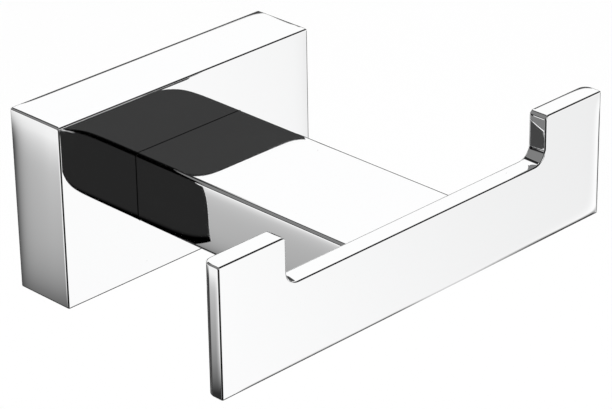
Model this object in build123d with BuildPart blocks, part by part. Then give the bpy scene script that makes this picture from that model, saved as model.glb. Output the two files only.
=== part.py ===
from build123d import *
import math
import os

# A double robe hook for a bathroom wall, in chrome plated brass.
# A deep rectangular cover hides a folded steel bracket that is screwed to the wall.
# The cover hooks over the bracket's top flange and a grub screw locks it from below.
# A flat arm is bolted to the cover from inside and carries a thin bar with a raised
# tab at each end. The wall is the plane Y = 0, the hook stands out towards -Y, and
# the origin is the middle of the cover's back.

# Cover: a cast box, open at the back
cover_width = 68.5
cover_height = 40.0
cover_depth = 14.7
cover_wall = 2.2
cover_front_wall = 3.0
cover_corner_radius = 0.5
cover_edge_radius = 0.4
cover_inner_radius = 1.5
cover_draft = 0.4
root_overlap = 1.0

# Arm: a solid flat bar let into the cover's front and the hook bar's back
arm_width = 29.5
arm_height = 15.2
arm_rise = 0.3
arm_reach = 60.0
arm_edge_radius = 0.8
register_depth = 0.8
register_clearance = 0.05

# Hook bar: a thin plate with a raised tab at each end
bar_length = 105.0
bar_thickness = 4.4
bar_bottom = 7.8
notch_floor_height = 9.3
tab_top_height = 19.4
tab_width = 16.8
notch_radius = 3.0
tab_corner_radius = 1.0
bar_end_radius = 2.0
bar_edge_radius = 0.4

# Tenon: the step on the arm's end that the hook bar is brazed to
tenon_width = 24.0
tenon_height = 9.0
tenon_depth = 2.0
tenon_clearance = 0.05
tenon_corner_radius = 1.5

# Bolts that hold the arm to the cover, and their washers
bolt_spacing = 17.0
bolt_radius = 2.5
bolt_head_radius = 4.25
bolt_head_height = 2.8
bolt_head_edge = 0.5
bolt_socket_across_flats = 3.0
bolt_socket_depth = 1.6
bolt_grip_in_arm = 10.0
bolt_hole_clearance = 0.25
bolt_thread_clearance = 0.04
bolt_tip_gap = 2.0
washer_radius = 5.0
washer_thickness = 1.0
washer_bore_clearance = 0.15

# Bracket: folded from one strip, with flanges that lean outwards like a dovetail
bracket_width = 54.0
bracket_sheet = 1.8
bracket_half_height = 9.5
flange_depth = 8.5
flange_lean = 15.0
flange_bend_radius = 0.6
slot_spacing = 34.0
slot_length = 9.0
slot_radius = 2.4

# Ledge inside the cover's top wall, which hooks behind the upper flange
ledge_width = 36.0
ledge_back = 1.2
ledge_thickness = 2.2

# Grub screw that locks the cover, in a boss on the lower wall
grub_radius = 2.0
grub_recess = 3.4
grub_cone = 0.8
grub_y = -5.5
grub_tip_gap = 0.1
grub_socket_across_flats = 2.0
grub_socket_depth = 2.2
grub_thread_clearance = 0.04
boss_radius = 4.2
boss_gap = 1.2

# Ribs on the cover's front wall, one beside each end of the washers
rib_width = 1.6
rib_height = 1.4
rib_offset = 22.0

# Places that follow from the sizes above
cover_front = -cover_depth
cavity_front = cover_front + cover_front_wall
cavity_width = cover_width - 2 * cover_wall
cavity_height = cover_height - 2 * cover_wall
arm_root = cover_front + register_depth
arm_end = cover_front - arm_reach
bar_back = arm_end
bar_front = bar_back - bar_thickness
notch_half_width = bar_length / 2 - tab_width
find_tolerance = 0.01
lean_slope = math.tan(math.radians(flange_lean))
sheet_across_flange = bracket_sheet / math.cos(math.radians(flange_lean))


def flange_outer(distance_from_wall):
    """The height of a flange's outer face at a distance in front of the wall."""
    return bracket_half_height + lean_slope * distance_from_wall


def arm_axis_plane(y):
    """The plane across the arm at a given Y, centred on the arm and facing away from the wall."""
    return Plane.XZ.offset(-y).shift_origin((0, y, arm_rise))


def save(part, name):
    """Labels a finished piece and writes it as a STEP file."""
    part.label = name
    export_step(part, "parts/" + name + ".step")


os.makedirs("parts", exist_ok=True)

# Cover
wall_root = cover_height / 2 - cover_wall + root_overlap
ledge_front = ledge_back + ledge_thickness
ledge_bottom_at_back = flange_outer(ledge_back)
ledge_bottom_at_front = flange_outer(ledge_front)
boss_top = -(flange_outer(-grub_y) + boss_gap)

with BuildPart() as cover:
    with BuildSketch(Plane.XZ):
        RectangleRounded(cover_width, cover_height, cover_corner_radius)
    extrude(amount=cover_depth)
    rims = cover.faces().filter_by(Axis.Y).edges()
    fillet(rims, cover_edge_radius)
    with BuildSketch(Plane.XZ) as cavity_mouth:
        RectangleRounded(cavity_width, cavity_height, cover_inner_radius)
    with BuildSketch(Plane.XZ.offset(cover_depth - cover_front_wall)) as cavity_end:
        RectangleRounded(
            cavity_width - 2 * cover_draft,
            cavity_height - 2 * cover_draft,
            cover_inner_radius,
        )
    loft(mode=Mode.SUBTRACT)
    # the ledge grows from the upper wall and follows the flange's lean
    with BuildSketch(Plane.YZ.offset(-ledge_width / 2)):
        with BuildLine():
            Polyline(
                (-ledge_back, wall_root),
                (-ledge_back, ledge_bottom_at_back),
                (-ledge_front, ledge_bottom_at_front),
                (-ledge_front - ledge_thickness, wall_root),
                close=True,
            )
        make_face()
    extrude(amount=ledge_width)
    # the boss for the grub screw grows from the lower wall and runs to the front wall
    with BuildSketch(Plane.XY.offset(-wall_root)):
        with Locations((0, grub_y)):
            Circle(boss_radius)
        with Locations((0, (grub_y + cavity_front) / 2)):
            Rectangle(2 * boss_radius, grub_y - cavity_front)
    extrude(amount=boss_top + wall_root)
    # stiffening ribs up the front wall
    with BuildSketch(Plane.XZ.offset(-cavity_front - rib_height)):
        with GridLocations(2 * rib_offset, 0, 2, 1):
            Rectangle(rib_width, cavity_height - cover_draft)
    extrude(amount=rib_height + root_overlap)
    # the register that the arm is let into, and its bolt holes
    with BuildSketch(arm_axis_plane(cover_front)):
        RectangleRounded(
            arm_width + 2 * register_clearance,
            arm_height + 2 * register_clearance,
            arm_edge_radius + register_clearance,
        )
    extrude(amount=-register_depth, mode=Mode.SUBTRACT)
    with BuildSketch(arm_axis_plane(cover_front)):
        with GridLocations(bolt_spacing, 0, 2, 1):
            Circle(bolt_radius + bolt_hole_clearance)
    extrude(amount=-cover_front_wall - rib_height, mode=Mode.SUBTRACT)
    # the grub screw's threaded hole through the lower wall and its boss
    with BuildSketch(Plane.XY.offset(-cover_height / 2)):
        with Locations((0, grub_y)):
            Circle(grub_radius + grub_thread_clearance)
    extrude(amount=boss_top + cover_height / 2, mode=Mode.SUBTRACT)
save(cover.part, "wall_cover")

# Arm
with BuildPart() as arm:
    with BuildSketch(arm_axis_plane(arm_root)):
        RectangleRounded(arm_width, arm_height, arm_edge_radius)
    extrude(amount=arm_reach + register_depth)
    with BuildSketch(arm_axis_plane(arm_end)):
        RectangleRounded(tenon_width, tenon_height, tenon_corner_radius)
    extrude(amount=tenon_depth)
    with BuildSketch(arm_axis_plane(arm_root)):
        with GridLocations(bolt_spacing, 0, 2, 1):
            Circle(bolt_radius + bolt_thread_clearance)
    extrude(amount=bolt_grip_in_arm + bolt_tip_gap, mode=Mode.SUBTRACT)
save(arm.part, "arm")

# Hook bar
with BuildPart() as hook_bar:
    # seen from above, the ends are rounded off towards the wall
    with BuildSketch(Plane.XY.offset(-bar_bottom)) as bar_plan:
        with Locations((0, bar_back)):
            Rectangle(bar_length, bar_thickness, align=(Align.CENTER, Align.MAX))
        fillet(bar_plan.vertices().group_by(Axis.Y)[-1], bar_end_radius)
    extrude(amount=bar_bottom + tab_top_height)
    # seen from the front, it is a plate with a wide notch
    with BuildSketch(Plane.XZ.offset(-bar_back)) as bar_outline:
        with BuildLine():
            Polyline(
                (-bar_length / 2, -bar_bottom),
                (bar_length / 2, -bar_bottom),
                (bar_length / 2, tab_top_height),
                (notch_half_width, tab_top_height),
                (notch_half_width, notch_floor_height),
                (-notch_half_width, notch_floor_height),
                (-notch_half_width, tab_top_height),
                (-bar_length / 2, tab_top_height),
                close=True,
            )
        make_face()
        # the sketch's own Y runs upwards
        notch_corners = bar_outline.vertices().filter_by_position(
            Axis.Y, notch_floor_height - find_tolerance, notch_floor_height + find_tolerance
        )
        fillet(notch_corners, notch_radius)
        tab_corners = bar_outline.vertices().filter_by_position(
            Axis.Y, tab_top_height - find_tolerance, tab_top_height + find_tolerance
        )
        inner_corners = tab_corners.filter_by_position(
            Axis.X, -notch_half_width - find_tolerance, notch_half_width + find_tolerance
        )
        fillet(inner_corners, tab_corner_radius)
    extrude(amount=bar_thickness, mode=Mode.INTERSECT)
    # every edge is broken, apart from the seams where a round runs smoothly into a flat
    seams = hook_bar.faces().filter_by(GeomType.CYLINDER).edges().filter_by(GeomType.LINE)
    fillet(hook_bar.edges() - seams, bar_edge_radius)
    with BuildSketch(arm_axis_plane(bar_back)):
        RectangleRounded(
            tenon_width + 2 * tenon_clearance,
            tenon_height + 2 * tenon_clearance,
            tenon_corner_radius + tenon_clearance,
        )
    extrude(amount=tenon_depth + tenon_clearance, mode=Mode.SUBTRACT)
save(hook_bar.part, "hook_bar")

# Washers under the bolt heads
with BuildPart() as washers:
    with BuildSketch(arm_axis_plane(cavity_front)):
        with GridLocations(bolt_spacing, 0, 2, 1):
            Circle(washer_radius)
            Circle(bolt_radius + washer_bore_clearance, mode=Mode.SUBTRACT)
    extrude(amount=-washer_thickness)
save(washers.part, "arm_bolt_washers")

# Bolts, socket headed, that run through the cover into the arm
head_seat = cavity_front + washer_thickness
bolt_tip = arm_root - bolt_grip_in_arm
with BuildPart() as bolts:
    with BuildSketch(arm_axis_plane(bolt_tip)):
        with GridLocations(bolt_spacing, 0, 2, 1):
            Circle(bolt_radius)
    extrude(amount=bolt_tip - head_seat)
    with BuildSketch(arm_axis_plane(head_seat)):
        with GridLocations(bolt_spacing, 0, 2, 1):
            Circle(bolt_head_radius)
    extrude(amount=-bolt_head_height)
    head_faces = bolts.faces().filter_by(GeomType.PLANE).group_by(Axis.Y)[-1]
    chamfer(head_faces.edges(), bolt_head_edge)
    tip_faces = bolts.faces().filter_by(GeomType.PLANE).group_by(Axis.Y)[0]
    chamfer(tip_faces.edges(), bolt_head_edge)
    with BuildSketch(arm_axis_plane(head_seat + bolt_head_height)):
        with GridLocations(bolt_spacing, 0, 2, 1):
            RegularPolygon(bolt_socket_across_flats / 2, 6, major_radius=False)
    extrude(amount=bolt_socket_depth, mode=Mode.SUBTRACT)
save(bolts.part, "arm_bolts")

# Bracket
with BuildPart() as bracket:
    with BuildSketch(Plane.YZ.offset(-bracket_width / 2)) as bracket_section:
        with BuildLine():
            Polyline(
                (0, -bracket_half_height),
                (-flange_depth, -flange_outer(flange_depth)),
                (-flange_depth, -flange_outer(flange_depth) + sheet_across_flange),
                (-bracket_sheet, -flange_outer(bracket_sheet) + sheet_across_flange),
                (-bracket_sheet, flange_outer(bracket_sheet) - sheet_across_flange),
                (-flange_depth, flange_outer(flange_depth) - sheet_across_flange),
                (-flange_depth, flange_outer(flange_depth)),
                (0, bracket_half_height),
                close=True,
            )
        make_face()
        fillet(bracket_section.vertices().group_by(Axis.Y)[-1], flange_bend_radius)
    extrude(amount=bracket_width)
    with BuildSketch(Plane.XZ):
        with GridLocations(slot_spacing, 0, 2, 1):
            SlotOverall(slot_length, 2 * slot_radius)
    extrude(amount=bracket_sheet, mode=Mode.SUBTRACT)
save(bracket.part, "wall_bracket")

# Grub screw
grub_tip = -(flange_outer(-grub_y + grub_radius - grub_cone) + grub_tip_gap)
grub_end = -cover_height / 2 + grub_recess
with BuildPart() as grub:
    with BuildSketch(Plane.XY.offset(grub_tip)):
        with Locations((0, grub_y)):
            Circle(grub_radius)
    extrude(amount=grub_end - grub_tip)
    chamfer(grub.faces().sort_by(Axis.Z)[-1].edges(), grub_cone)
    with BuildSketch(Plane.XY.offset(grub_end)):
        with Locations((0, grub_y)):
            RegularPolygon(grub_socket_across_flats / 2, 6, major_radius=False)
    extrude(amount=grub_socket_depth, mode=Mode.SUBTRACT)
save(grub.part, "grub_screw")
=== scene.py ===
import math

import bpy
from bpy.props import FloatProperty, FloatVectorProperty, PointerProperty
from mathutils import Matrix, Vector


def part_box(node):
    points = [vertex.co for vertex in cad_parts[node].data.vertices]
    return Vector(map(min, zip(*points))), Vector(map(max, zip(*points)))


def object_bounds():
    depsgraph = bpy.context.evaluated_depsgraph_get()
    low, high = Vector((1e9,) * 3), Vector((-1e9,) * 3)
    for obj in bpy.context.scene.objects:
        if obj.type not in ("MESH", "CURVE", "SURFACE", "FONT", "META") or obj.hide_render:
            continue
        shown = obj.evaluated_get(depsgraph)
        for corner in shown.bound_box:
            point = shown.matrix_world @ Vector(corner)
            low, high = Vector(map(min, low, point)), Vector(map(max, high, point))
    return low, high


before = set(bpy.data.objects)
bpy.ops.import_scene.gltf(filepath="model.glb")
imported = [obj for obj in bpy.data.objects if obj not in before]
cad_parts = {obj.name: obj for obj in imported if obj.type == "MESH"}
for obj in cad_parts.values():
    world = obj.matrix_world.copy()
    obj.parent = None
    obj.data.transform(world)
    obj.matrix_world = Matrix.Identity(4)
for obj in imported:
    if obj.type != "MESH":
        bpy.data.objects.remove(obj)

bl_info = {
    "name": "Double robe hook",
    "version": (1, 0, 0),
    "blender": (4, 5, 0),
    "location": "View3D > Sidebar > Robe Hook",
    "description": "Polished chrome double robe hook with its hidden bracket and fixings",
    "category": "Object",
}

PICTURE_WIDTH = 612
SENSOR_WIDTH = 36.0
NEAREST_SEEN, FURTHEST_SEEN = 0.01, 20.0
ZINC_NODES = ("wall_bracket", "arm_bolts", "arm_bolt_washers", "grub_screw")
CAD_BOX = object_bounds()

# Regions of directions that polished metal mirrors. Each limit names an axis, or a mix of axes,
# then the value where the region starts and the value where it is full.
BESIDE_THE_HOOK = (("x", -0.10, -0.16), ("y", -0.10, 0.02))
WALL_BESIDE = (("y", 0.60, 0.50), ("z", -0.60, -0.45), ("z", 0.0, -0.06))
WALL_BEHIND = (("y", 0.68, 0.80), ("z", -0.30, -0.40))
TABLE_IN_FRONT = (("y", -0.50, -0.56), ("z", -0.20, -0.30))
TABLE_SHADED_PART = ("x", 0.58, 0.72)
OVERHEAD_STRIP = (("x", -0.16, -0.10), ("x", 0.24, 0.16), ("y", 0.20, 0.32), ("z", 0.30, 0.45))
UPPER_SCREEN = (("x", -0.16, -0.10), ("x", 0.56, 0.50), ("y", 0.645, 0.668), ("z", 0.50, 0.56))
HIGH_SCREEN = (("x", 0.02, 0.12), ("y", 0.12, 0.04), ("z", 0.06, 0.14))
HIGH_SCREEN_LIGHTER_PART = ("z", 0.56, 0.50)
LOW_SCREEN = (("x", 0.20, 0.08), ("y", -0.04, -0.14))
LOW_SCREEN_HEIGHT = ("z", -0.24, -0.30)
LOW_SCREEN_FAR_END = (("x", -0.30, -0.45), ("z", 0.06, -0.06))
LOW_SCREEN_LIGHTER_PART = ("z", -0.50, -0.475)
HORIZON = (("diagonal", 0.36, 0.24), ("z", -0.26, -0.08), ("z", 0.20, 0.08))
FLOOR_BEHIND = (("x", -0.14, -0.09), ("z", -0.25, -0.32))
FLOOR_START = ("y", -0.40, -0.30)
FLOOR_ON_THE_RIGHT = (("x", 0.60, 0.65), ("past the front", -0.01, 0.01))
TABLE_EDGE = (("x", 0.10, 0.20), ("z", -0.40, -0.45), ("below the table", 0.02, -0.02))
TABLE_EDGE_LIT_PART = (("x", 0.638, 0.650), ("x", 0.685, 0.655))
TABLE_EDGE_BEND = ("x", 0.655, 0.680)
CAMERA_SIDE = (("x", 0.14, 0.08), ("y", -0.02, -0.12), ("y", -0.80, -0.77), ("z", -0.10, -0.04))
FAR_WALL = (("x", 0.3, 0.4), ("y", 0.45, 0.5), ("above the far wall", 0.01, -0.01))
FAR_WALL_RISE = ("x", 0.655, 0.675)
FAR_WALL_RIGHT = (("x", 0.640, 0.655), ("y", 0.675, 0.655))
FAR_WALL_END = (("x", 0.655, 0.680), ("y", 0.655, 0.640))

# Slopes of the lines that mixes of axes measure from
FRONT_SLOPE = 0.63
TABLE_EDGE_SLOPES = (-1.01, -0.985)

# Height and level of the light wall on the left
LIGHT_WALL = (
    (-0.72, 0.004), (-0.60, 0.03), (-0.53, 0.20), (-0.46, 0.42), (-0.41, 0.55), (-0.35, 0.90),
    (-0.08, 1.00), (-0.04, 0.02), (0.17, 0.02), (0.21, 0.21), (1.00, 0.21),
)

# Levels of the studio, from 0 for black to 1 for white
WHITE = 1.0
WALL_BESIDE_LEVEL = 0.95
WALL_BEHIND_LEVEL = 0.03
TABLE_LEVEL = 0.98
TABLE_SHADE = 0.12
STRIP_LEVEL = 0.02
HIGH_SCREEN_LEVEL = 0.003
HIGH_SCREEN_RISE = 0.042
LOW_SCREEN_LEVEL = 0.020
HORIZON_LEVEL = 0.06
FLOOR_LEVEL = 0.03
TABLE_EDGE_LEVEL = 0.03
TABLE_EDGE_RISE = 0.60
CAMERA_SIDE_LEVEL = 0.0
FAR_WALL_LEVEL = 0.06


# Settings


def colour_setting(name, description, default):
    return FloatVectorProperty(
        name=name, description=description, subtype="COLOR", size=3, min=0.0, max=1.0, default=default
    )


def share_setting(name, description, default):
    return FloatProperty(
        name=name, description=description, subtype="FACTOR", min=0.0, max=1.0, default=default
    )


def angle_setting(name, description, degrees):
    return FloatProperty(
        name=name, description=description, subtype="ANGLE", default=math.radians(degrees)
    )


def length_setting(name, description, metres):
    return FloatProperty(
        name=name, description=description, subtype="DISTANCE", unit="LENGTH", default=metres
    )


class ChromeSettings(bpy.types.PropertyGroup):
    """Sizes and colours of the chrome plating"""

    plating_colour: colour_setting(
        "Plating colour", "Colour of the polished chrome where it mirrors white", (0.985, 0.987, 0.990)
    )
    dust_colour: colour_setting("Dust colour", "Colour of the fine dust specks", (0.80, 0.80, 0.79))
    inside_colour: colour_setting(
        "Inside colour", "Colour of the thin, unpolished plating inside the cover", (0.50, 0.49, 0.46)
    )
    inside_shade: colour_setting(
        "Inside shade", "Darker colour of the grain inside the cover", (0.36, 0.35, 0.33)
    )
    # near-black colour of the line around the arm where it enters the cover
    joint_colour: colour_setting(
        "Joint colour", "Colour of the polish left where the arm enters the cover", (0.003, 0.003, 0.003)
    )
    casting_wall: length_setting(
        "Casting wall", "Thickness of the cover's wall outside the surface left as cast", 0.0012
    )
    joint_width: length_setting(
        "Joint width", "Width of the dark line where the arm enters the cover", 0.00032
    )
    polish_roughness: share_setting("Polish roughness", "Roughness of the cleanest chrome", 0.02)
    smear_roughness: share_setting(
        "Smear roughness", "Roughness added where wiping has left a faint smear", 0.035
    )
    buffed_tilt: angle_setting(
        "Buffed tilt", "How far the buffing wheel has rolled each face over at its edges", 5.0
    )
    buffed_reach: length_setting(
        "Buffed reach", "How far in from its edges a face is rolled over", 0.0015
    )
    cover_side_reach: length_setting(
        "Cover side reach", "How far in the cover's sides are rolled over, back and front", 0.0018
    )
    cover_upright_reach: length_setting(
        "Cover upright reach", "How far in the cover's sides are rolled over, top and bottom", 0.006
    )
    arm_side_reach: length_setting(
        "Arm side reach", "How far in the arm's sides are rolled over, back and front", 0.0015
    )
    arm_upright_reach: length_setting(
        "Arm upright reach", "How far in the arm's sides are rolled over, top and bottom", 0.0018
    )
    bar_end_tilt: angle_setting(
        "Bar end tilt", "How far the bar's ends are rolled over at their edges", 7.0
    )
    bar_end_reach: length_setting(
        "Bar end reach", "How far in the bar's ends are rolled over, back and front", 0.0025
    )
    bar_upright_reach: length_setting(
        "Bar upright reach", "How far in the bar's ends are rolled over, top and bottom", 0.005
    )
    ripple: share_setting("Ripple", "Strength of the faint waves that buffing leaves", 0.002)


class ZincSettings(bpy.types.PropertyGroup):
    """Sizes and colours of the zinc plated steel"""

    zinc_colour: colour_setting("Zinc colour", "Main colour of the zinc plating", (0.60, 0.62, 0.65))
    spangle_size: length_setting("Spangle size", "Width of one crystal of the zinc plating", 0.0014)
    spangle_relief: length_setting("Spangle relief", "Height of the crystals", 0.00003)
    zinc_roughness: share_setting("Zinc roughness", "Roughness of the zinc plating", 0.34)


class StudioSettings(bpy.types.PropertyGroup):
    """Camera, floor and light"""

    camera_azimuth: angle_setting(
        "Camera azimuth", "Angle of the camera round the hook, 0 straight in front", -44.5689
    )
    camera_elevation: angle_setting(
        "Camera elevation", "Angle of the camera above the hook", 26.2620
    )
    camera_roll: angle_setting("Camera roll", "Turn of the camera about its own axis", -0.9870)
    camera_distance: length_setting(
        "Camera distance", "Distance from the camera to the plane through the wall face's middle", 0.60473
    )
    camera_side_step: length_setting(
        "Camera side step", "How far the camera stands to the right of the wall face's middle", 0.033987
    )
    camera_rise: length_setting(
        "Camera rise", "How far the camera stands above the wall face's middle, across its view", -0.0123
    )
    focal_length_in_pixels: FloatProperty(
        name="Focal length in pixels",
        description="Focal length of the camera, in pixels of the picture",
        default=2910.06,
    )
    floor_drop: length_setting("Floor drop", "How far the floor lies below the hook", 0.30)
    floor_size: length_setting("Floor size", "Width of the square floor", 6.0)
    floor_colour: colour_setting(
        "Floor colour", "Colour of the floor and of the backdrop", (0.98, 0.98, 0.98)
    )
    lamp_width: length_setting("Lamp width", "Width of the large soft lamp overhead", 1.2)
    lamp_depth: length_setting("Lamp depth", "Depth of the large soft lamp overhead", 0.9)
    lamp_power: FloatProperty(
        name="Lamp power",
        description="Power of the large soft lamp overhead, in watts",
        default=1.2,
    )


# Node helpers


def link_or_set(tree, socket, value):
    """Joins a socket to another one, or gives it a plain value."""
    if isinstance(value, bpy.types.NodeSocket):
        tree.links.new(value, socket)
    else:
        socket.default_value = value


def number(tree, operation, first, second=0.0, third=0.0, clamp=False):
    """One Math node. Returns its output."""
    node = tree.nodes.new("ShaderNodeMath")
    node.operation = operation
    node.use_clamp = clamp
    for socket, value in zip(node.inputs, (first, second, third)):
        link_or_set(tree, socket, value)
    return node.outputs[0]


def size_of(tree, value):
    """A number without its sign."""
    return number(tree, "ABSOLUTE", value)


def vector(tree, operation, first, second=(0.0, 0.0, 0.0), scale=1.0):
    """One Vector Math node. Returns its vector output, or its value for a dot product."""
    node = tree.nodes.new("ShaderNodeVectorMath")
    node.operation = operation
    link_or_set(tree, node.inputs[0], first)
    if operation == "SCALE":
        link_or_set(tree, node.inputs["Scale"], scale)
    elif operation != "NORMALIZE":
        link_or_set(tree, node.inputs[1], second)
    return node.outputs["Value" if operation == "DOT_PRODUCT" else "Vector"]


def parts_of(tree, value):
    """The three parts of a vector."""
    node = tree.nodes.new("ShaderNodeSeparateXYZ")
    tree.links.new(value, node.inputs[0])
    return node.outputs


def step_between(tree, value, low, high):
    """0 below low, 1 above high and smooth between them. With low above high it falls instead."""
    node = tree.nodes.new("ShaderNodeMapRange")
    node.interpolation_type = "SMOOTHSTEP"
    link_or_set(tree, node.inputs["Value"], value)
    node.inputs["From Min"].default_value = min(low, high)
    node.inputs["From Max"].default_value = max(low, high)
    node.inputs["To Min"].default_value = 0.0 if low < high else 1.0
    node.inputs["To Max"].default_value = 1.0 if low < high else 0.0
    return node.outputs["Result"]


def all_of(tree, *masks):
    """The product of some masks."""
    product = masks[0]
    for mask in masks[1:]:
        product = number(tree, "MULTIPLY", product, mask)
    return product


def region(tree, directions, *limits):
    """1 in a region of directions, 0 outside it."""
    return all_of(tree, *(step_between(tree, directions[axis], start, full) for axis, start, full in limits))


def lay_over(tree, below, above, mask):
    """A number with another laid over it where the mask is 1."""
    node = tree.nodes.new("ShaderNodeMix")
    node.data_type = "FLOAT"
    link_or_set(tree, node.inputs[0], mask)
    link_or_set(tree, node.inputs[2], below)
    link_or_set(tree, node.inputs[3], above)
    return node.outputs[0]


def colour_over(tree, below, above, mask):
    """A colour with another laid over it where the mask is 1."""
    node = tree.nodes.new("ShaderNodeMix")
    node.data_type = "RGBA"
    link_or_set(tree, node.inputs[0], mask)
    for socket, value in ((node.inputs[6], below), (node.inputs[7], above)):
        if not isinstance(value, bpy.types.NodeSocket):
            value = (*tuple(value)[:3], 1.0)
        link_or_set(tree, socket, value)
    return node.outputs[2]


def noise(tree, place, scale, detail=3.0, roughness=0.5):
    """A Noise Texture's value and colour at a place."""
    node = tree.nodes.new("ShaderNodeTexNoise")
    link_or_set(tree, node.inputs["Vector"], place)
    node.inputs["Scale"].default_value = scale
    node.inputs["Detail"].default_value = detail
    node.inputs["Roughness"].default_value = roughness
    return node.outputs


def crystals(tree, place, scale):
    """A Voronoi Texture's outputs at a place."""
    node = tree.nodes.new("ShaderNodeTexVoronoi")
    link_or_set(tree, node.inputs["Vector"], place)
    link_or_set(tree, node.inputs["Scale"], scale)
    return node.outputs


def stretched(tree, place, scale):
    """A place stretched along the axes by a Mapping node."""
    node = tree.nodes.new("ShaderNodeMapping")
    link_or_set(tree, node.inputs["Vector"], place)
    node.inputs["Scale"].default_value = scale
    return node.outputs["Vector"]


def new_group(name, inputs, outputs):
    """An empty shader node group with named sockets. Returns the tree, its inputs and its outputs."""
    tree = bpy.data.node_groups.new(name, "ShaderNodeTree")
    for label, kind, default in inputs:
        socket = tree.interface.new_socket(name=label, in_out="INPUT", socket_type=kind)
        if default is not None:
            socket.default_value = default
    for label, kind in outputs:
        tree.interface.new_socket(name=label, in_out="OUTPUT", socket_type=kind)
    given = tree.nodes.new("NodeGroupInput").outputs
    return tree, given, tree.nodes.new("NodeGroupOutput").inputs


def place_group(tree, group, **values):
    """A group placed in a material's tree, with its inputs joined or set. Returns its outputs."""
    node = tree.nodes.new("ShaderNodeGroup")
    node.node_tree = group
    for name, value in values.items():
        link_or_set(tree, node.inputs[name.replace("_", " ").capitalize()], value)
    return node.outputs


def new_material(name):
    """A material with an empty tree and a Principled BSDF. Returns all three."""
    material = bpy.data.materials.new(name)
    material.use_nodes = True
    tree = material.node_tree
    tree.nodes.clear()
    shader = tree.nodes.new("ShaderNodeBsdfPrincipled")
    output = tree.nodes.new("ShaderNodeOutputMaterial")
    tree.links.new(shader.outputs[0], output.inputs["Surface"])
    return material, tree, shader


def object_place(tree):
    return tree.nodes.new("ShaderNodeTexCoord").outputs["Object"]


# Shared effects


def edge_roll(tree, offset, half_size, reach):
    """How much the two edges across one axis roll a face over, from -1 at one to 1 at the other."""
    rolls = []
    for distance in (offset, number(tree, "MULTIPLY", offset, -1.0)):
        inside = number(tree, "SUBTRACT", distance, half_size)
        rolls.append(number(tree, "EXPONENT", number(tree, "DIVIDE", inside, reach)))
    return number(tree, "SUBTRACT", rolls[0], rolls[1])


def within_face(tree, tilt, normal):
    """The part of a tilt that lies in the face."""
    along = vector(tree, "SCALE", normal, scale=vector(tree, "DOT_PRODUCT", tilt, normal))
    return vector(tree, "SUBTRACT", tilt, along)


def build_buffed_faces():
    """The normal of faces that a buffing wheel has rolled over near their edges."""
    ripple_scale = 90.0
    narrow_from, narrow_to = 0.6, 0.9
    tree, given, result = new_group(
        "buffed faces",
        [
            ("Place", "NodeSocketVector", None),
            ("Middle", "NodeSocketVector", (0.0, 0.0, 0.0)),
            ("Half size", "NodeSocketVector", (1.0, 1.0, 1.0)),
            ("Tilt", "NodeSocketFloat", 0.05),
            ("Reach", "NodeSocketFloat", 0.0015),
            ("Side tilt", "NodeSocketFloat", 0.05),
            ("Side reach", "NodeSocketFloat", 0.0015),
            ("Upright reach", "NodeSocketFloat", 0.0015),
            ("Ripple", "NodeSocketFloat", 0.0),
        ],
        [("Normal", "NodeSocketVector")],
    )
    normal = tree.nodes.new("ShaderNodeNewGeometry").outputs["Normal"]
    # the narrow sides, which face left and right, are buffed up and down, so they roll over further in
    sideways = size_of(tree, parts_of(tree, normal)[0])
    narrow = step_between(tree, sideways, narrow_from, narrow_to)
    across = lay_over(tree, given["Reach"], given["Side reach"], narrow)
    upright = lay_over(tree, given["Reach"], given["Upright reach"], narrow)
    from_middle = parts_of(tree, vector(tree, "SUBTRACT", given["Place"], given["Middle"]))
    half = parts_of(tree, given["Half size"])
    rolled = tree.nodes.new("ShaderNodeCombineXYZ")
    for axis, reach in enumerate((across, across, upright)):
        tree.links.new(edge_roll(tree, from_middle[axis], half[axis], reach), rolled.inputs[axis])
    most = lay_over(tree, given["Tilt"], given["Side tilt"], narrow)
    tilt = vector(tree, "SCALE", rolled.outputs[0], scale=most)
    waves = noise(tree, given["Place"], ripple_scale, 1.0)["Color"]
    centred = vector(tree, "SUBTRACT", waves, (0.5, 0.5, 0.5))
    tilt = vector(tree, "ADD", tilt, vector(tree, "SCALE", centred, scale=given["Ripple"]))
    # the broad faces are buffed less at their corners, where two edges meet
    rolls = parts_of(tree, within_face(tree, rolled.outputs[0], normal))
    pairs = [
        size_of(tree, number(tree, "MULTIPLY", rolls[one], rolls[other]))
        for one, other in ((0, 1), (1, 2), (2, 0))
    ]
    meeting = number(tree, "ADD", number(tree, "ADD", pairs[0], pairs[1]), pairs[2])
    broad = number(tree, "SUBTRACT", 1.0, narrow)
    spared = number(tree, "MULTIPLY", meeting, broad, clamp=True)
    kept = number(tree, "SUBTRACT", 1.0, spared)
    flat = vector(tree, "SCALE", within_face(tree, tilt, normal), scale=kept)
    tree.links.new(vector(tree, "NORMALIZE", vector(tree, "ADD", normal, flat)), result["Normal"])
    return tree


def build_wiping_smears():
    """A mask of faint smears and a mask of fine dust specks."""
    smear_scale, patch_scale, speck_scale = 45.0, 70.0, 260.0
    smear_levels, patch_levels = (0.42, 0.72), (0.56, 0.70)
    speck_edge = (0.075, 0.035)
    tree, given, result = new_group(
        "wiping smears",
        [("Place", "NodeSocketVector", None)],
        [("Smear", "NodeSocketFloat"), ("Speck", "NodeSocketFloat")],
    )
    sideways = stretched(tree, given["Place"], (1.0, 1.0, 3.0))
    long_smears = noise(tree, sideways, smear_scale, 4.0, 0.6)[0]
    tree.links.new(step_between(tree, long_smears, *smear_levels), result["Smear"])
    patches = step_between(tree, noise(tree, given["Place"], patch_scale)[0], *patch_levels)
    from_speck = crystals(tree, given["Place"], speck_scale)["Distance"]
    dots = step_between(tree, from_speck, *speck_edge)
    tree.links.new(number(tree, "MULTIPLY", patches, dots), result["Speck"])
    return tree


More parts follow.
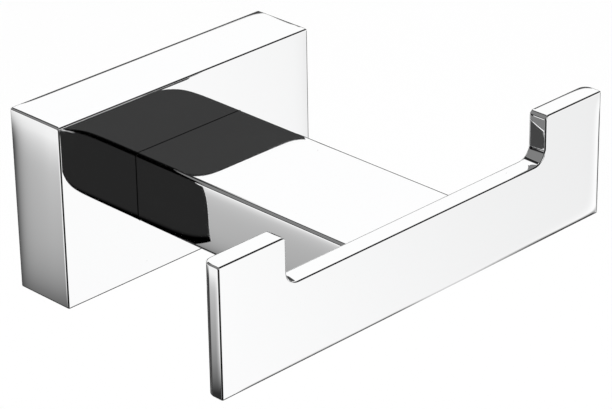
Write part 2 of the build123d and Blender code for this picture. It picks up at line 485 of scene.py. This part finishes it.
def build_inside_mask():
    """1 inside a box with soft sides, 0 outside it."""
    outside, inside = 1.01, 0.99
    tree, given, result = new_group(
        "inside of a box",
        [
            ("Place", "NodeSocketVector", None),
            ("Middle", "NodeSocketVector", (0.0, 0.0, 0.0)),
            ("Half size", "NodeSocketVector", (1.0, 1.0, 1.0)),
        ],
        [("Mask", "NodeSocketFloat")],
    )
    from_middle = vector(tree, "SUBTRACT", given["Place"], given["Middle"])
    share = parts_of(tree, vector(tree, "DIVIDE", from_middle, given["Half size"]))
    sides = [step_between(tree, size_of(tree, share[axis]), outside, inside) for axis in range(3)]
    tree.links.new(all_of(tree, *sides), result["Mask"])
    return tree


def build_zinc_spangle():
    """The mottled colour and roughness of zinc plating."""
    cloud_scale = 160.0
    crystal_share = 0.4
    dull_colour, most_dull = (0.44, 0.45, 0.47), 0.55
    rough_spread, smoothest = 0.22, -0.08
    tree, given, result = new_group(
        "zinc spangle",
        [
            ("Place", "NodeSocketVector", None),
            ("Colour", "NodeSocketColor", (0.6, 0.6, 0.6, 1.0)),
            ("Roughness", "NodeSocketFloat", 0.3),
            ("Crystal size", "NodeSocketFloat", 0.001),
        ],
        [("Colour", "NodeSocketColor"), ("Roughness", "NodeSocketFloat"), ("Height", "NodeSocketFloat")],
    )
    cells = crystals(tree, given["Place"], number(tree, "DIVIDE", 1.0, given["Crystal size"]))
    shade = tree.nodes.new("ShaderNodeSeparateColor")
    tree.links.new(cells["Color"], shade.inputs[0])
    clouds = noise(tree, given["Place"], cloud_scale, 4.0, 0.6)[0]
    mottle = lay_over(tree, clouds, shade.outputs[0], crystal_share)
    dull_share = number(tree, "MULTIPLY", mottle, most_dull)
    tree.links.new(colour_over(tree, given["Colour"], dull_colour, dull_share), result["Colour"])
    spread = number(tree, "MULTIPLY_ADD", mottle, rough_spread, smoothest)
    tree.links.new(number(tree, "ADD", given["Roughness"], spread), result["Roughness"])
    tree.links.new(mottle, result["Height"])
    return tree


def shared_effects():
    """Builds the shared groups once and returns them by name."""
    makers = {
        "buffed faces": build_buffed_faces,
        "wiping smears": build_wiping_smears,
        "inside of a box": build_inside_mask,
        "zinc spangle": build_zinc_spangle,
    }
    return {name: bpy.data.node_groups.get(name) or make() for name, make in makers.items()}


# Materials


def middle_and_half(node):
    low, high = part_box(node)
    return (low + high) / 2, (high - low) / 2


def cast_inside(tree, settings, place, node, colour, rough):
    """The inside of the casting, left as it came from the mould."""
    wall = settings.casting_wall
    grain_scale = 900.0
    rough_spread, smoothest = 0.2, 0.38
    middle, half = middle_and_half(node)
    inside = place_group(
        tree,
        shared_effects()["inside of a box"],
        place=place,
        middle=(middle.x, middle.y + wall, middle.z),
        half_size=(half.x - wall, half.y, half.z - wall),
    )["Mask"]
    grain = noise(tree, place, grain_scale, 5.0, 0.7)[0]
    cast = colour_over(tree, settings.inside_colour, settings.inside_shade, grain)
    cast_rough = number(tree, "MULTIPLY_ADD", grain, rough_spread, smoothest)
    return colour_over(tree, colour, cast, inside), lay_over(tree, rough, cast_rough, inside)


def dark_joint(tree, settings, place, node, colour, rough):
    """A near-black, rough line around the arm where it enters the cover."""
    joint_roughness = 0.8
    middle, half = middle_and_half(node)
    joint = place_group(
        tree,
        shared_effects()["inside of a box"],
        place=place,
        middle=(middle.x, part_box("wall_cover")[0].y, middle.z),
        half_size=(2.0 * half.x, settings.joint_width / 2, 2.0 * half.z),
    )["Mask"]
    colour = colour_over(tree, colour, settings.joint_colour, joint)
    return colour, lay_over(tree, rough, joint_roughness, joint)


def chrome_for(node, settings, side_tilt, side_reach, upright_reach):
    """Polished chrome plating fitted to one node's faces."""
    speck_roughness = 0.25
    speck_strength = 0.5
    effects = shared_effects()
    material, tree, shader = new_material("chrome on " + node)
    place = object_place(tree)
    middle, half = middle_and_half(node)
    smears = place_group(tree, effects["wiping smears"], place=place)
    buffed = place_group(
        tree,
        effects["buffed faces"],
        place=place,
        middle=middle,
        half_size=half,
        tilt=settings.buffed_tilt,
        reach=settings.buffed_reach,
        side_tilt=side_tilt,
        side_reach=side_reach,
        upright_reach=upright_reach,
        ripple=settings.ripple,
    )
    polish, smear = settings.polish_roughness, settings.smear_roughness
    smeared = number(tree, "MULTIPLY_ADD", smears["Smear"], smear, polish)
    rough = number(tree, "MULTIPLY_ADD", smears["Speck"], speck_roughness, smeared)
    dusty = number(tree, "MULTIPLY", smears["Speck"], speck_strength)
    colour = colour_over(tree, settings.plating_colour, settings.dust_colour, dusty)
    if node == "wall_cover":
        colour, rough = cast_inside(tree, settings, place, node, colour, rough)
    if node == "arm":
        colour, rough = dark_joint(tree, settings, place, node, colour, rough)
    tree.links.new(buffed["Normal"], shader.inputs["Normal"])
    tree.links.new(colour, shader.inputs["Base Color"])
    tree.links.new(rough, shader.inputs["Roughness"])
    shader.inputs["Metallic"].default_value = 1.0
    return material


def zinc_for(node, settings):
    """Dull zinc plating with its fine crystals."""
    relief_strength = 0.25
    material, tree, shader = new_material("zinc on " + node)
    spangle = place_group(
        tree,
        shared_effects()["zinc spangle"],
        place=object_place(tree),
        colour=(*settings.zinc_colour, 1.0),
        roughness=settings.zinc_roughness,
        crystal_size=settings.spangle_size,
    )
    bump = tree.nodes.new("ShaderNodeBump")
    bump.inputs["Strength"].default_value = relief_strength
    bump.inputs["Distance"].default_value = settings.spangle_relief
    tree.links.new(spangle["Height"], bump.inputs["Height"])
    tree.links.new(bump.outputs[0], shader.inputs["Normal"])
    tree.links.new(spangle["Colour"], shader.inputs["Base Color"])
    tree.links.new(spangle["Roughness"], shader.inputs["Roughness"])
    shader.inputs["Metallic"].default_value = 1.0
    return material


def dress(node, material):
    """Gives a CAD node its finish."""
    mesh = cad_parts[node].data
    mesh.materials.clear()
    mesh.materials.append(material)


# Studio


def directions_seen(tree):
    """The direction that a ray looks in: its three parts, and the mixes of them that regions use."""
    x, y, z = parts_of(tree, tree.nodes.new("ShaderNodeTexCoord").outputs["Generated"])
    plain = {"x": x, "y": y, "z": z}
    edge_slope = lay_over(tree, *TABLE_EDGE_SLOPES, region(tree, plain, TABLE_EDGE_BEND))
    return {
        **plain,
        "diagonal": size_of(tree, number(tree, "MULTIPLY", x, y)),
        "past the front": number(tree, "MULTIPLY_ADD", x, FRONT_SLOPE, y),
        "below the table": number(tree, "MULTIPLY_ADD", y, edge_slope, z),
    }


def light_wall(tree, towards):
    """The light wall on the left, behind the hook: bright at eye level, dark towards the floor."""
    by_height = tree.nodes.new("ShaderNodeValToRGB")
    tree.links.new(number(tree, "MULTIPLY_ADD", towards["z"], 0.5, 0.5), by_height.inputs[0])
    ramp = by_height.color_ramp
    while len(ramp.elements) < len(LIGHT_WALL):
        ramp.elements.new(1.0)
    for element, (height, level) in zip(ramp.elements, LIGHT_WALL):
        element.position = 0.5 * height + 0.5
        element.color = (level, level, level, 1.0)
    # it is brightest beside the hook and falls off towards the back
    level = lay_over(tree, by_height.outputs[0], WALL_BESIDE_LEVEL, region(tree, towards, *WALL_BESIDE))
    return lay_over(tree, level, WALL_BEHIND_LEVEL, region(tree, towards, *WALL_BEHIND))


def far_wall(tree, towards):
    """A mask of the far wall behind the hook, dark below the lit ceiling."""
    least_depth = 0.05
    middle_top, end_top, right_top, right_end_top = 0.45, 0.43, 0.50, 0.56
    depth = number(tree, "MAXIMUM", towards["y"], least_depth)
    steepness = number(tree, "DIVIDE", towards["z"], depth)
    top = lay_over(tree, middle_top, end_top, region(tree, towards, FAR_WALL_RISE))
    on_the_right = lay_over(tree, right_top, right_end_top, region(tree, towards, *FAR_WALL_END))
    top = lay_over(tree, top, on_the_right, region(tree, towards, *FAR_WALL_RIGHT))
    towards = {**towards, "above the far wall": number(tree, "SUBTRACT", steepness, top)}
    return region(tree, towards, *FAR_WALL)


def studio_level(tree, towards):
    """How bright the studio is in each direction, as polished metal sees it."""
    # the white table in front shades off a little to the right
    shaded = region(tree, towards, TABLE_SHADED_PART)
    table = number(tree, "MULTIPLY_ADD", shaded, -TABLE_SHADE, TABLE_LEVEL)
    seen = lay_over(tree, WHITE, table, region(tree, towards, *TABLE_IN_FRONT))
    seen = lay_over(tree, seen, light_wall(tree, towards), region(tree, towards, *BESIDE_THE_HOOK))
    # dark screens overhead, which rounded left edges mirror
    seen = lay_over(tree, seen, STRIP_LEVEL, region(tree, towards, *OVERHEAD_STRIP))
    seen = lay_over(tree, seen, STRIP_LEVEL, region(tree, towards, *UPPER_SCREEN))
    # a dark screen high up in front on the right, which is a little lighter lower down
    lighter = region(tree, towards, HIGH_SCREEN_LIGHTER_PART)
    high_level = number(tree, "MULTIPLY_ADD", lighter, HIGH_SCREEN_RISE, HIGH_SCREEN_LEVEL)
    seen = lay_over(tree, seen, high_level, region(tree, towards, *HIGH_SCREEN))
    # a darker screen low down in front on the left, which reaches higher at its far end
    near = region(tree, towards, LOW_SCREEN_HEIGHT)
    far = region(tree, towards, *LOW_SCREEN_FAR_END)
    either = number(tree, "MAXIMUM", near, far)
    low_screen = all_of(tree, region(tree, towards, *LOW_SCREEN), either)
    lighter = region(tree, towards, LOW_SCREEN_LIGHTER_PART)
    low_level = number(tree, "MULTIPLY", lighter, LOW_SCREEN_LEVEL)
    seen = lay_over(tree, seen, low_level, low_screen)
    # a soft dark horizon in front, behind and at the sides
    seen = lay_over(tree, seen, HORIZON_LEVEL, region(tree, towards, *HORIZON))
    # the dark floor behind the hook, which reaches further forward on the right
    start = region(tree, towards, FLOOR_START)
    on_the_right = region(tree, towards, *FLOOR_ON_THE_RIGHT)
    started = number(tree, "MAXIMUM", start, on_the_right)
    behind = all_of(tree, region(tree, towards, *FLOOR_BEHIND), started)
    seen = lay_over(tree, seen, FLOOR_LEVEL, behind)
    # the edge of the table, which is lit in one part, so the line that it draws fades there
    lit = region(tree, towards, *TABLE_EDGE_LIT_PART)
    edge_level = number(tree, "MULTIPLY_ADD", lit, TABLE_EDGE_RISE, TABLE_EDGE_LEVEL)
    seen = lay_over(tree, seen, edge_level, region(tree, towards, *TABLE_EDGE))
    # the side that the camera stands on
    seen = lay_over(tree, seen, CAMERA_SIDE_LEVEL, region(tree, towards, *CAMERA_SIDE))
    return lay_over(tree, seen, FAR_WALL_LEVEL, far_wall(tree, towards))


def build_surroundings():
    """A white studio with dark screens, as polished metal sees it, and plain white for all else."""
    world = bpy.data.worlds.new("studio surroundings")
    bpy.context.scene.world = world
    world.use_nodes = True
    tree = world.node_tree
    tree.nodes.clear()
    seen = studio_level(tree, directions_seen(tree))
    path = tree.nodes.new("ShaderNodeLightPath")
    mirrored = number(tree, "MAXIMUM", path.outputs["Is Glossy Ray"], path.outputs["Is Transmission Ray"])
    level = lay_over(tree, WHITE, seen, mirrored)
    level = lay_over(tree, level, WHITE, path.outputs["Is Camera Ray"])
    background = tree.nodes.new("ShaderNodeBackground")
    grey = colour_over(tree, (0.0, 0.0, 0.0), (1.0, 1.0, 1.0), level)
    tree.links.new(grey, background.inputs["Color"])
    background.inputs["Strength"].default_value = 1.0
    output = tree.nodes.new("ShaderNodeOutputWorld")
    tree.links.new(background.outputs[0], output.inputs["Surface"])


def lay_floor(settings):
    """A plain pale floor below the hook, clear from underneath."""
    height = CAD_BOX[0][2] - settings.floor_drop
    shade, roughness = 0.985, 0.9
    cloud_scale, cloud_detail = 3.0, 2.0
    bpy.ops.object.select_all(action="DESELECT")
    bpy.ops.mesh.primitive_plane_add(size=settings.floor_size, location=(0.0, 0.0, height))
    floor = bpy.context.active_object
    floor.name = "studio_floor"
    bpy.ops.object.transform_apply(location=True, rotation=False, scale=False)
    material, tree, shader = new_material("pale floor")
    tone = noise(tree, object_place(tree), cloud_scale, cloud_detail)[0]
    shaded = [shade * part for part in settings.floor_colour]
    tree.links.new(colour_over(tree, settings.floor_colour, shaded, tone), shader.inputs["Base Color"])
    shader.inputs["Roughness"].default_value = roughness
    shader.inputs["Specular IOR Level"].default_value = 0.0
    clear = tree.nodes.new("ShaderNodeBsdfTransparent")
    either = tree.nodes.new("ShaderNodeMixShader")
    tree.links.new(tree.nodes.new("ShaderNodeNewGeometry").outputs["Backfacing"], either.inputs[0])
    tree.links.new(shader.outputs[0], either.inputs[1])
    tree.links.new(clear.outputs[0], either.inputs[2])
    output = next(node for node in tree.nodes if node.type == "OUTPUT_MATERIAL")
    tree.links.new(either.outputs[0], output.inputs["Surface"])
    floor.data.materials.append(material)
    floor.visible_glossy = False


def hang_lamp(settings):
    """One large soft lamp overhead."""
    place = Vector((-0.35, -0.45, 0.9))
    aim = Vector((0.0, -0.04, 0.0))
    lamp = bpy.data.lights.new("soft lamp", "AREA")
    lamp.shape = "RECTANGLE"
    lamp.size = settings.lamp_width
    lamp.size_y = settings.lamp_depth
    lamp.energy = settings.lamp_power
    holder = bpy.data.objects.new("soft_lamp", lamp)
    bpy.context.scene.collection.objects.link(holder)
    holder.location = place
    holder.rotation_euler = (aim - place).to_track_quat("-Z", "Y").to_euler()
    holder.visible_glossy = False
    holder.visible_camera = False


def stand_camera(settings):
    """The camera at the photograph's place."""
    azimuth = settings.camera_azimuth
    elevation = settings.camera_elevation
    roll = settings.camera_roll
    back = Vector((
        math.sin(azimuth) * math.cos(elevation),
        -math.cos(azimuth) * math.cos(elevation),
        math.sin(elevation),
    ))
    right = Vector((0.0, 0.0, 1.0)).cross(back).normalized()
    up = back.cross(right)
    rolled_right = math.cos(roll) * right + math.sin(roll) * up
    rolled_up = math.cos(roll) * up - math.sin(roll) * right
    place = (
        settings.camera_side_step * rolled_right
        + settings.camera_rise * rolled_up
        + settings.camera_distance * back
    )
    turned = Matrix((rolled_right, rolled_up, back)).transposed().to_4x4()
    lens = bpy.data.cameras.new("photo camera")
    lens.sensor_fit = "HORIZONTAL"
    lens.sensor_width = SENSOR_WIDTH
    lens.lens = settings.focal_length_in_pixels / PICTURE_WIDTH * lens.sensor_width
    lens.clip_start, lens.clip_end = NEAREST_SEEN, FURTHEST_SEEN
    camera = bpy.data.objects.new("photo_camera", lens)
    bpy.context.scene.collection.objects.link(camera)
    camera.matrix_world = Matrix.Translation(place) @ turned
    bpy.context.scene.camera = camera


# Operators


class HOOK_OT_plate_cover(bpy.types.Operator):
    """Plates the wall cover with chrome, and leaves its inside as cast"""

    bl_idname = "robehook.plate_cover"
    bl_label = "Plate Wall Cover"

    def execute(self, context):
        settings = context.scene.robehook_chrome
        reaches = settings.cover_side_reach, settings.cover_upright_reach
        dress("wall_cover", chrome_for("wall_cover", settings, settings.buffed_tilt, *reaches))
        return {"FINISHED"}


class HOOK_OT_plate_arm(bpy.types.Operator):
    """Plates the arm with chrome"""

    bl_idname = "robehook.plate_arm"
    bl_label = "Plate Arm"

    def execute(self, context):
        settings = context.scene.robehook_chrome
        reaches = settings.arm_side_reach, settings.arm_upright_reach
        dress("arm", chrome_for("arm", settings, settings.buffed_tilt, *reaches))
        return {"FINISHED"}


class HOOK_OT_plate_bar(bpy.types.Operator):
    """Plates the hook bar with chrome"""

    bl_idname = "robehook.plate_bar"
    bl_label = "Plate Hook Bar"

    def execute(self, context):
        settings = context.scene.robehook_chrome
        reaches = settings.bar_end_reach, settings.bar_upright_reach
        dress("hook_bar", chrome_for("hook_bar", settings, settings.bar_end_tilt, *reaches))
        return {"FINISHED"}


class HOOK_OT_plate_fixings(bpy.types.Operator):
    """Zinc plates the bracket, the bolts, their washers and the grub screw"""

    bl_idname = "robehook.plate_fixings"
    bl_label = "Plate Fixings"

    def execute(self, context):
        for node in ZINC_NODES:
            dress(node, zinc_for(node, context.scene.robehook_zinc))
        return {"FINISHED"}


class HOOK_OT_set_stage(bpy.types.Operator):
    """Sets up the floor, the light, the surroundings and the camera"""

    bl_idname = "robehook.set_stage"
    bl_label = "Set Stage"

    def execute(self, context):
        settings = context.scene.robehook_studio
        build_surroundings()
        lay_floor(settings)
        hang_lamp(settings)
        stand_camera(settings)
        context.scene.view_settings.view_transform = "Standard"
        return {"FINISHED"}


OPERATORS = (
    HOOK_OT_plate_cover,
    HOOK_OT_plate_arm,
    HOOK_OT_plate_bar,
    HOOK_OT_plate_fixings,
    HOOK_OT_set_stage,
)


class HOOK_PT_sidebar(bpy.types.Panel):
    """Lists the steps that dress the robe hook"""

    bl_idname = "HOOK_PT_sidebar"
    bl_label = "Robe Hook"
    bl_space_type = "VIEW_3D"
    bl_region_type = "UI"
    bl_category = "Robe Hook"

    def draw(self, context):
        for operator in OPERATORS:
            self.layout.operator(operator.bl_idname)
        for settings in (
            context.scene.robehook_chrome,
            context.scene.robehook_zinc,
            context.scene.robehook_studio,
        ):
            box = self.layout.box()
            for name in settings.__annotations__:
                box.prop(settings, name)


CLASSES = (ChromeSettings, ZincSettings, StudioSettings, *OPERATORS, HOOK_PT_sidebar)


def register():
    for cls in CLASSES:
        bpy.utils.register_class(cls)
    bpy.types.Scene.robehook_chrome = PointerProperty(type=ChromeSettings)
    bpy.types.Scene.robehook_zinc = PointerProperty(type=ZincSettings)
    bpy.types.Scene.robehook_studio = PointerProperty(type=StudioSettings)


def unregister():
    del bpy.types.Scene.robehook_studio
    del bpy.types.Scene.robehook_zinc
    del bpy.types.Scene.robehook_chrome
    for cls in reversed(CLASSES):
        bpy.utils.unregister_class(cls)


def main():
    register()
    bpy.ops.robehook.plate_cover()
    bpy.ops.robehook.plate_arm()
    bpy.ops.robehook.plate_bar()
    bpy.ops.robehook.plate_fixings()
    bpy.ops.robehook.set_stage()


if __name__ == "__main__":
    main()
